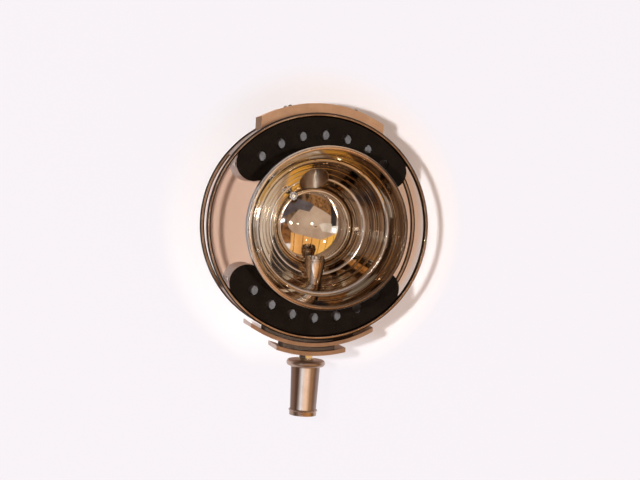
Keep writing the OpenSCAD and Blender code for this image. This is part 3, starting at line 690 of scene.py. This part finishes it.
def make_burner(material):
    """Flared cup on a stem, with a rolled edge and a low crown of teeth round its top."""
    right, up = body_axes()
    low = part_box("burner_post")[0][2] - LAMP.z
    outside = [(CUP_FOOT_R, low), (CUP_FOOT_R, CUP_FLARE_LOW)]
    for i in range(1, FLARE_STEPS + 1):
        t = i / FLARE_STEPS
        outside.append((CUP_FOOT_R + (CUP_R - CUP_FOOT_R) * (1 - (1 - t) ** FLARE_BEND),
                        CUP_FLARE_LOW + t * (CUP_TOP - CUP_FLARE_LOW)))
    for i in range(ROLL_STEPS + 1):
        turn = math.radians(-90 + 180 * i / ROLL_STEPS)
        outside.append((CUP_R - CUP_ROLL + CUP_ROLL * (1 + math.cos(turn)) / 1.5,
                        CUP_TOP + CUP_ROLL * (1 + math.sin(turn))))
    floor = CUP_TOP + 2 * CUP_ROLL
    columns = []
    for step in range(TOOTH_PITCH * CUP_TEETH):
        angle = 2 * math.pi * step / (TOOTH_PITCH * CUP_TEETH)
        tooth = floor + (CUP_TOOTH if step % TOOTH_PITCH >= TOOTH_GAP else CUP_SILL)
        crown = [(CROWN_OUT_R, tooth), (CROWN_IN_R, tooth), (CROWN_IN_R, floor), (CUP_BORE_R, floor),
                 (CUP_BORE_R, low)]
        columns.append([LAMP + right * (BURNER_SIDE + radius * math.cos(angle)) + up * height
                        + Vector((0, -POST_FORWARD - radius * math.sin(angle), 0))
                        for radius, height in outside + crown])
    cup = ring_piece("burner_cup", columns, material)
    smooth_edges(cup, PIECE_EDGE)
    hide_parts("burner_post", "burner_cap")


def make_stud(bright, dark, pin):
    """Cut head of the dome's fastener: facets painted alternately bright and dark as glints and shade, round
    a small pin.
    """
    low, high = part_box("dome_clip")
    middle = Vector(((low[0] + high[0]) / 2, low[1], (low[2] + high[2]) / 2))
    points, faces = [], []
    for number, (radius, back) in enumerate(STUD_RINGS):
        for i in range(STUD_SIDES):
            angle = 2 * math.pi * (i + number / 2) / STUD_SIDES
            points.append(middle + Vector((radius * math.cos(angle), back, radius * math.sin(angle))))
    for number in range(len(STUD_RINGS) - 1):
        here, there = number * STUD_SIDES, (number + 1) * STUD_SIDES
        for i in range(STUD_SIDES):
            j = (i + 1) % STUD_SIDES
            faces.append((here + i, here + j, there + i))
            faces.append((here + j, there + j, there + i))
    petals = len(faces)
    last = (len(STUD_RINGS) - 1) * STUD_SIDES
    faces.append(tuple(range(STUD_SIDES)))
    faces.append(tuple(last + i for i in range(STUD_SIDES)))
    stud = new_piece("clip_head", points, faces, (bright, dark, pin))
    # Painted glints and shade: alternate facets take the bright and the dark finish, and the back ring all
    # take the dark one.
    for number, face in enumerate(stud.data.polygons[:petals]):
        face.material_index = number % 2 if number < 2 * petals // 3 else 1
    stud.data.polygons[petals].material_index = 2
    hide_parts("dome_clip")


# Stage, lights and camera

# The hoops reach 0.150 behind the swivel's axis when the head is turned
WALL_Y = 0.165
FLOOR_Z = -0.60
STAGE_REACH = 3.0
COVE_R = 0.10
SCREEN_R = 2.3
SCREEN_TOP = 2.2
CARD_AWAY = 1.9
PANEL_Y = -1.0
BOARD_WIDTH = 0.2
BOARD_START = -0.03
UNDER_Z = -0.58
LIGHT_AWAY = 1.6
SPARK_AWAY = 0.8
COVE_STEPS, SCREEN_STEPS = 12, 16
BOARD_JOINT = 0.07
BACKDROP = (0.94, 0.895, 0.93)
# The wall's painted warm shade lies about where the camera sees the lamp's middle on it, and ends at these
# radii
SHADE_SLANT = 0.238
SHADE_EDGE = (0.158, 0.166)
# Radii and heights between which the wall turns evenly white, and how far it does
EVEN_EDGE, FOOT_EDGE, EVEN_SHARE = (0.196, 0.23), (0.04, 0.10), 0.96
# The world's strength for mirrors and for paint
MIRRORED_LEVEL, AMBIENT_LEVEL = 0.55, 0.14
# Cards: distance, corners as degrees to the right and up, two tones and the scale of their mottling
CARDS = {
    "card_pale": (CARD_AWAY, ((11.3, 22.2), (-9, 16.3), (-22, -1.9), (-12.7, -11.5), (21.5, -18.9),
                              (45, -8.5), (39.2, -4.2), (32.2, 10.5)),
                  (0.62, 0.46, 0.36), (0.44, 0.31, 0.235), (0.8, 0.8, 0.8)),
    "card_dark": (CARD_AWAY - 0.1, ((11.4, 23.6), (4.8, 15.0), (-8.3, 17.4), (-28.5, 5.0), (-38, 10),
                                    (-36, 28), (-7.2, 29.5)),
                  (0.15, 0.125, 0.135), (0.085, 0.066, 0.072), (2, 2, 2)),
    "card_wood": (CARD_AWAY + 0.1, ((12, 22.5), (14, 44), (40, 44), (36, 11), (32, 11)),
                  (0.42, 0.20, 0.08), (0.10, 0.045, 0.02), (9, 9, 9)),
    "card_bar": (CARD_AWAY - 0.1, ((33.5, 36), (42, 36), (38.5, -1), (31.8, -1)),
                 (0.05, 0.042, 0.045), (0.025, 0.02, 0.022), (2, 2, 2)),
    "card_cream": (CARD_AWAY, ((41.5, 28), (53, 26), (54, -8), (38.5, -8)),
                   (0.60, 0.53, 0.48), (0.38, 0.33, 0.30), (3, 3, 3)),
    "card_chairs": (CARD_AWAY - 0.2, ((-26, 0), (-21, -1), (-16, -12), (-14, -24), (-27, -24)),
                    (0.34, 0.14, 0.05), (0.10, 0.05, 0.025), (3, 3, 6)),
    "card_window": (CARD_AWAY, ((-45, 14), (-40, 14), (-40, -34), (-45, -34)),
                    (1.0, 0.98, 0.97), (0.85, 0.82, 0.80), (2, 2, 2)),
    "card_low_window": (CARD_AWAY, ((-50, -16), (-19, -16), (-20, -22), (-50, -22)),
                        (1.0, 0.98, 0.96), (0.86, 0.83, 0.80), (2, 2, 2)),
    "card_haze": (CARD_AWAY - 0.05, ((17, 0), (22, 2.5), (33, 2), (34, -8), (22, -7)),
                  (0.80, 0.69, 0.62), (0.60, 0.49, 0.42), (3, 3, 3)),
    "card_glow": (CARD_AWAY - 0.15, ((33, -1), (42, 0), (42, -9), (32, -8)),
                  (1.0, 0.97, 0.96), (0.90, 0.86, 0.85), (2, 2, 2)),
    "card_flag": (1.2, ((-120, 50), (-72, 50), (-72, -28), (-120, -28)),
                  (0.10, 0.075, 0.06), (0.05, 0.038, 0.03), (2, 2, 2)),
}
# Lights: degrees to the right and up; sparks also have a size and a power
KEY_TOWARDS, WALL_KEY_TOWARDS, KEY_COLOUR = (-27.0, 2.8), (-18.8, 2.0), (0.97, 0.98, 1.0)
FILL_SIZE = 1.2
SPARKS = ((8.1, 1.3, 0.024, 0.03), (37.6, -5.0, 0.045, 0.10), (45.5, 9.1, 0.02, 0.015),
          (27.3, -19.0, 0.022, 0.025), (-9.1, 0.0, 0.008, 0.004), (2.9, -19.3, 0.008, 0.003))
# Camera: place, lens in millimetres, and yaw, pitch and roll in degrees
CAMERA_AT, CAMERA_LENS, CAMERA_TURN = (-0.4052, -1.7416, 0.3007), 74.98, (13.39, 2.06, 3.50)


def wall_material():
    """Pale paint, with a painted warm shade in a disc behind the lamp, and evenly white away from it and at
    its foot.

    Seen from its back it is clear, so that the lamp shows from behind."""
    material, tree, bsdf = new_material("wall_paint")
    x, _, z = place(tree)
    side = math_node(tree, "SUBTRACT", x, SHADE_SLANT * WALL_Y)
    away = length(tree, side, math_node(tree, "SUBTRACT", z, LAMP.z))
    mottle = noise(tree, unscaled(tree), 6.0, 3.0)
    paint = mix(tree, mottle, (0.90, 0.885, 0.90), (0.94, 0.93, 0.94))
    # Painted shade: a warm disc behind the lamp, browner at its left.
    shade = mix(tree, spread(tree, side, 0.0, 1.0, -0.12, 0.12), (0.64, 0.43, 0.32), (0.95, 0.73, 0.57))
    paint = mix(tree, spread(tree, away, 1.0, 0.0, *SHADE_EDGE), paint, shade)
    join(tree, paint, bsdf.inputs["Base Color"])
    bsdf.inputs["Roughness"].default_value = 0.8
    bsdf.inputs["Specular IOR Level"].default_value = 0.2
    relief(tree, bsdf, noise(tree, unscaled(tree), 180.0, 2.0), 0.00005, 0.0)
    shine = put(tree, "Emission", Strength=1.0)
    shine.inputs["Color"].default_value = (*BACKDROP, 1.0)
    even = math_node(tree, "MAXIMUM", spread(tree, away, 0.0, EVEN_SHARE, *EVEN_EDGE),
                     spread(tree, z, EVEN_SHARE, 0.0, *FOOT_EDGE))
    blank = put(tree, "MixShader")
    join(tree, even, blank.inputs[0])
    join(tree, bsdf.outputs[0], blank.inputs[1])
    join(tree, shine.outputs[0], blank.inputs[2])
    geometry = put(tree, "NewGeometry")
    rays = put(tree, "LightPath")
    clear = put(tree, "BsdfTransparent")
    switch = put(tree, "MixShader")
    join(tree, math_node(tree, "MULTIPLY", geometry.outputs["Backfacing"],
                         math_node(tree, "SUBTRACT", 1.0, rays.outputs["Is Diffuse Ray"])), switch.inputs[0])
    join(tree, blank.outputs[0], switch.inputs[1])
    join(tree, clear.outputs[0], switch.inputs[2])
    join(tree, switch.outputs[0], tree.nodes["Material Output"].inputs["Surface"])
    return material


def make_stage():
    """Wall behind the lamp, clear of its turning head, running down into the floor in one curve."""
    line = [(WALL_Y, LAMP.z + STAGE_REACH / 2)]
    for step in range(COVE_STEPS + 1):
        turn = math.radians(90 * step / COVE_STEPS)
        line.append((WALL_Y - COVE_R + COVE_R * math.cos(turn), FLOOR_Z + COVE_R - COVE_R * math.sin(turn)))
    line.append((-STAGE_REACH, FLOOR_Z))
    mesh = bpy.data.meshes.new("stage")
    points = [(side * STAGE_REACH, y, z) for y, z in line for side in (-1, 1)]
    faces = [(2 * i, 2 * i + 2, 2 * i + 3, 2 * i + 1) for i in range(len(line) - 1)]
    mesh.from_pydata(points, [], faces)
    for face in mesh.polygons:
        face.use_smooth = True
    mesh.materials.append(wall_material())
    stage = bpy.data.objects.new("stage", mesh)
    bpy.context.scene.collection.objects.link(stage)
    return stage


def make_world():
    """Plain pale studio all round, warmer towards the ground, and the backdrop's colour to the camera."""
    world = bpy.data.worlds.new("studio")
    bpy.context.scene.world = world
    world.use_nodes = True
    tree = world.node_tree
    coords = tree.nodes.new("ShaderNodeTexCoord")
    split = tree.nodes.new("ShaderNodeSeparateXYZ")
    join(tree, coords.outputs["Generated"], split.inputs[0])
    tone = ramp(tree, spread(tree, split.outputs[2], 0.0, 1.0, -1.0, 1.0),
                ((0.0, (0.42, 0.33, 0.26)), (0.5, (0.70, 0.62, 0.56)), (1.0, (0.80, 0.77, 0.76))))
    background = tree.nodes["Background"]
    rays = tree.nodes.new("ShaderNodeLightPath")
    level = spread(tree, rays.outputs["Is Diffuse Ray"], MIRRORED_LEVEL, AMBIENT_LEVEL, 0.0, 1.0)
    level = math_node(tree, "MAXIMUM", level, rays.outputs["Is Camera Ray"])
    join(tree, level, background.inputs[1])
    warm = mix(tree, rays.outputs["Is Diffuse Ray"], tone, (1.0, 0.62, 0.42))
    join(tree, mix(tree, rays.outputs["Is Camera Ray"], warm, BACKDROP), background.inputs[0])


def card_material(name, light, dark, grain):
    """Painted card that shines evenly at no more than its own colour, in two mottled tones."""
    material, tree, bsdf = new_material(name)
    mottle = noise(tree, stretched(tree, grain), 1.0, 5.0, 0.6)
    tone = mix(tree, spread(tree, mottle, 0.0, 1.0, 0.38, 0.62), dark, light)
    tree.nodes.remove(bsdf)
    shine = put(tree, "Emission", Strength=1.0)
    join(tree, tone, shine.inputs["Color"])
    join(tree, shine.outputs[0], tree.nodes["Material Output"].inputs["Surface"])
    return material


def board_material():
    """Upright boards, orange at the left and yellower at the right, with thin dark joints."""
    material = card_material("upright_boards", (0.95, 0.50, 0.18), (0.76, 0.36, 0.11), (3.0, 1.0, 0.6))
    tree = material.node_tree
    shine = tree.nodes["Emission"]
    tone = shine.inputs["Color"].links[0].from_socket
    x = place(tree)[0]
    tone = mix(tree, spread(tree, x, 0.0, 0.85, 0.1, 0.75), tone, (1.0, 0.56, 0.10))
    across = math_node(tree, "FRACT", math_node(tree, "DIVIDE", math_node(
        tree, "SUBTRACT", x, BOARD_START), BOARD_WIDTH))
    joint = math_node(tree, "LESS_THAN", across, BOARD_JOINT)
    join(tree, mix(tree, joint, tone, (0.12, 0.05, 0.02)), shine.inputs["Color"])
    return material


def stage_mesh(name, points, faces, material):
    """A card or screen that only mirrors see: it casts no shadow and isn't in the picture."""
    mesh = bpy.data.meshes.new(name)
    mesh.from_pydata(points, [], faces)
    mesh.materials.append(material)
    card = bpy.data.objects.new(name, mesh)
    card.visible_camera = False
    card.visible_shadow = False
    card.visible_diffuse = False
    bpy.context.scene.collection.objects.link(card)


def towards(side_deg, up_deg):
    """Direction from the lamp, by its angle to the right and its angle up."""
    side, up = math.radians(side_deg), math.radians(up_deg)
    return Vector((math.sin(side) * math.cos(up), -math.cos(side) * math.cos(up), math.sin(up)))


def make_screen(name, first_deg, last_deg, material):
    """Cloth round a part of the set, between two angles to the side."""
    points = []
    for step in range(SCREEN_STEPS + 1):
        turn = math.radians(first_deg + (last_deg - first_deg) * step / SCREEN_STEPS)
        for height in (FLOOR_Z, SCREEN_TOP):
            points.append((SCREEN_R * math.sin(turn), -SCREEN_R * math.cos(turn), height))
    faces = [(2 * i, 2 * i + 1, 2 * i + 3, 2 * i + 2) for i in range(SCREEN_STEPS)]
    stage_mesh(name, points, faces, material)


def make_card(name, away, corners, material):
    """Flat card before the lamp, its corners given as angles to the right and up."""
    rays = [towards(*corner) for corner in corners]
    middle = sum(rays, Vector()).normalized()
    points = [LAMP + ray * (away / ray.dot(middle)) for ray in rays]
    stage_mesh(name, points, [tuple(range(len(points)))], material)


def make_cards():
    """The cloths, boards and pale, dark and bright cards before the lamp, for it to reflect."""
    make_screen("screen_left", -91, 0,
                card_material("cloth_left", (0.22, 0.13, 0.08), (0.045, 0.026, 0.017), (3.0, 3.0, 1.0)))
    make_screen("screen_right", 0, 91,
                card_material("cloth_right", (0.34, 0.17, 0.07), (0.05, 0.027, 0.017), (3.5, 3.5, 1.6)))
    for name, (away, corners, light, dark, grain) in CARDS.items():
        make_card(name, away, corners, card_material(name, light, dark, grain))
    corners = [(x, PANEL_Y, z) for x, z in ((-0.3, 0.06), (0.42, -0.08), (0.9, 0.08), (2.4, 0.10),
                                            (2.4, FLOOR_Z), (-0.3, FLOOR_Z))]
    stage_mesh("boards", corners, [(0, 5, 4, 3, 2, 1)], board_material())
    corners = [(x, y, UNDER_Z) for x, y in ((-2.4, -0.12), (2.4, -0.12), (2.4, PANEL_Y), (-2.4, PANEL_Y))]
    stage_mesh("under_boards", corners, [(0, 1, 2, 3)],
               card_material("under_boards", (0.36, 0.19, 0.085), (0.05, 0.025, 0.014), (5.0, 1.2, 5.0)))


def area_light(name, place_at, size, power, colour, seen=False, lights=True):
    """Round light that looks at the lamp, mirrored by metal if seen, and lighting paint if lights."""
    data = bpy.data.lights.new(name, "AREA")
    data.shape = "DISK"
    data.size = size
    data.energy = power
    data.color = colour
    light = bpy.data.objects.new(name, data)
    light.location = place_at
    light.rotation_euler = (LAMP - place_at).to_track_quat("-Z", "Y").to_euler()
    light.visible_camera = False
    light.visible_glossy = seen
    light.visible_diffuse = lights
    bpy.context.scene.collection.objects.link(light)
    return light


def light_only(light, pieces):
    """Keeps a light to some pieces; all pieces still cast their shadows in it."""
    group = bpy.data.collections.new(light.name + "_group")
    for piece in pieces:
        group.objects.link(piece)
    light.light_linking.receiver_collection = group


def make_lights(stage):
    """Cool keys from the left, two warm fills, one light behind, and glints and sparks for the metal.

    The wall has a key of its own, nearer to the camera's line, so that the lamp's shadow falls on it as
    it would on a wall close behind. The other key lights everything but the wall."""
    others = [piece for piece in bpy.context.scene.objects if piece.type == "MESH" and piece != stage]
    key_at = LAMP + towards(*KEY_TOWARDS) * LIGHT_AWAY
    wall_key_at = LAMP + towards(*WALL_KEY_TOWARDS) * LIGHT_AWAY
    light_only(area_light("wall_key", wall_key_at, 0.05, 21.0, KEY_COLOUR), [stage])
    light_only(area_light("key", key_at, 0.10, 25.0, KEY_COLOUR), others)
    area_light("low_fill", LAMP + Vector((-0.3, -1.5, -0.3)), FILL_SIZE, 3.0, (1.0, 0.72, 0.50))
    area_light("warm", LAMP + Vector((1.1, -1.3, -0.4)), FILL_SIZE, 7.0, (1.0, 0.64, 0.38))
    area_light("rear", LAMP + Vector((0.3, 1.6, 0.9)), FILL_SIZE, 12.0, (1.0, 0.95, 0.9), seen=True)
    area_light("glint_blue", key_at, 0.02, 3.0, (0.78, 0.89, 1.0), seen=True, lights=False)
    area_light("glint_warm", LAMP + towards(-16.7, 1.0) * LIGHT_AWAY, 0.015, 0.5, (1.0, 0.93, 0.88),
               seen=True, lights=False)
    for number, (side, up, size, power) in enumerate(SPARKS):
        area_light(f"spark_{number}", LAMP + towards(side, up) * SPARK_AWAY, size, power, (1.0, 0.96, 0.92),
                   seen=True, lights=False)


def make_camera():
    """The photograph's view, as fitted to it."""
    data = bpy.data.cameras.new("camera")
    data.sensor_width = 36.0
    data.lens = CAMERA_LENS
    camera = bpy.data.objects.new("camera", data)
    yaw, pitch, roll = (math.radians(angle) for angle in CAMERA_TURN)
    turn = (Matrix.Rotation(-yaw, 4, "Z") @ Matrix.Rotation(math.radians(90) - pitch, 4, "X")
            @ Matrix.Rotation(roll, 4, "Z"))
    camera.matrix_world = Matrix.Translation(CAMERA_AT) @ turn
    bpy.context.scene.collection.objects.link(camera)
    bpy.context.scene.camera = camera


make_camera()
stage = make_stage()
make_cards()
make_world()
finishes = dress_nodes()
make_reflector(finishes["polished_nickel"])
make_rim(bezel_nickel())
make_burner(burner_nickel())
make_stud(clip_silver(), finishes["dark_steel"], finishes["gilt_brass"])
make_lights(stage)
bpy.context.scene.view_settings.view_transform = "Standard"
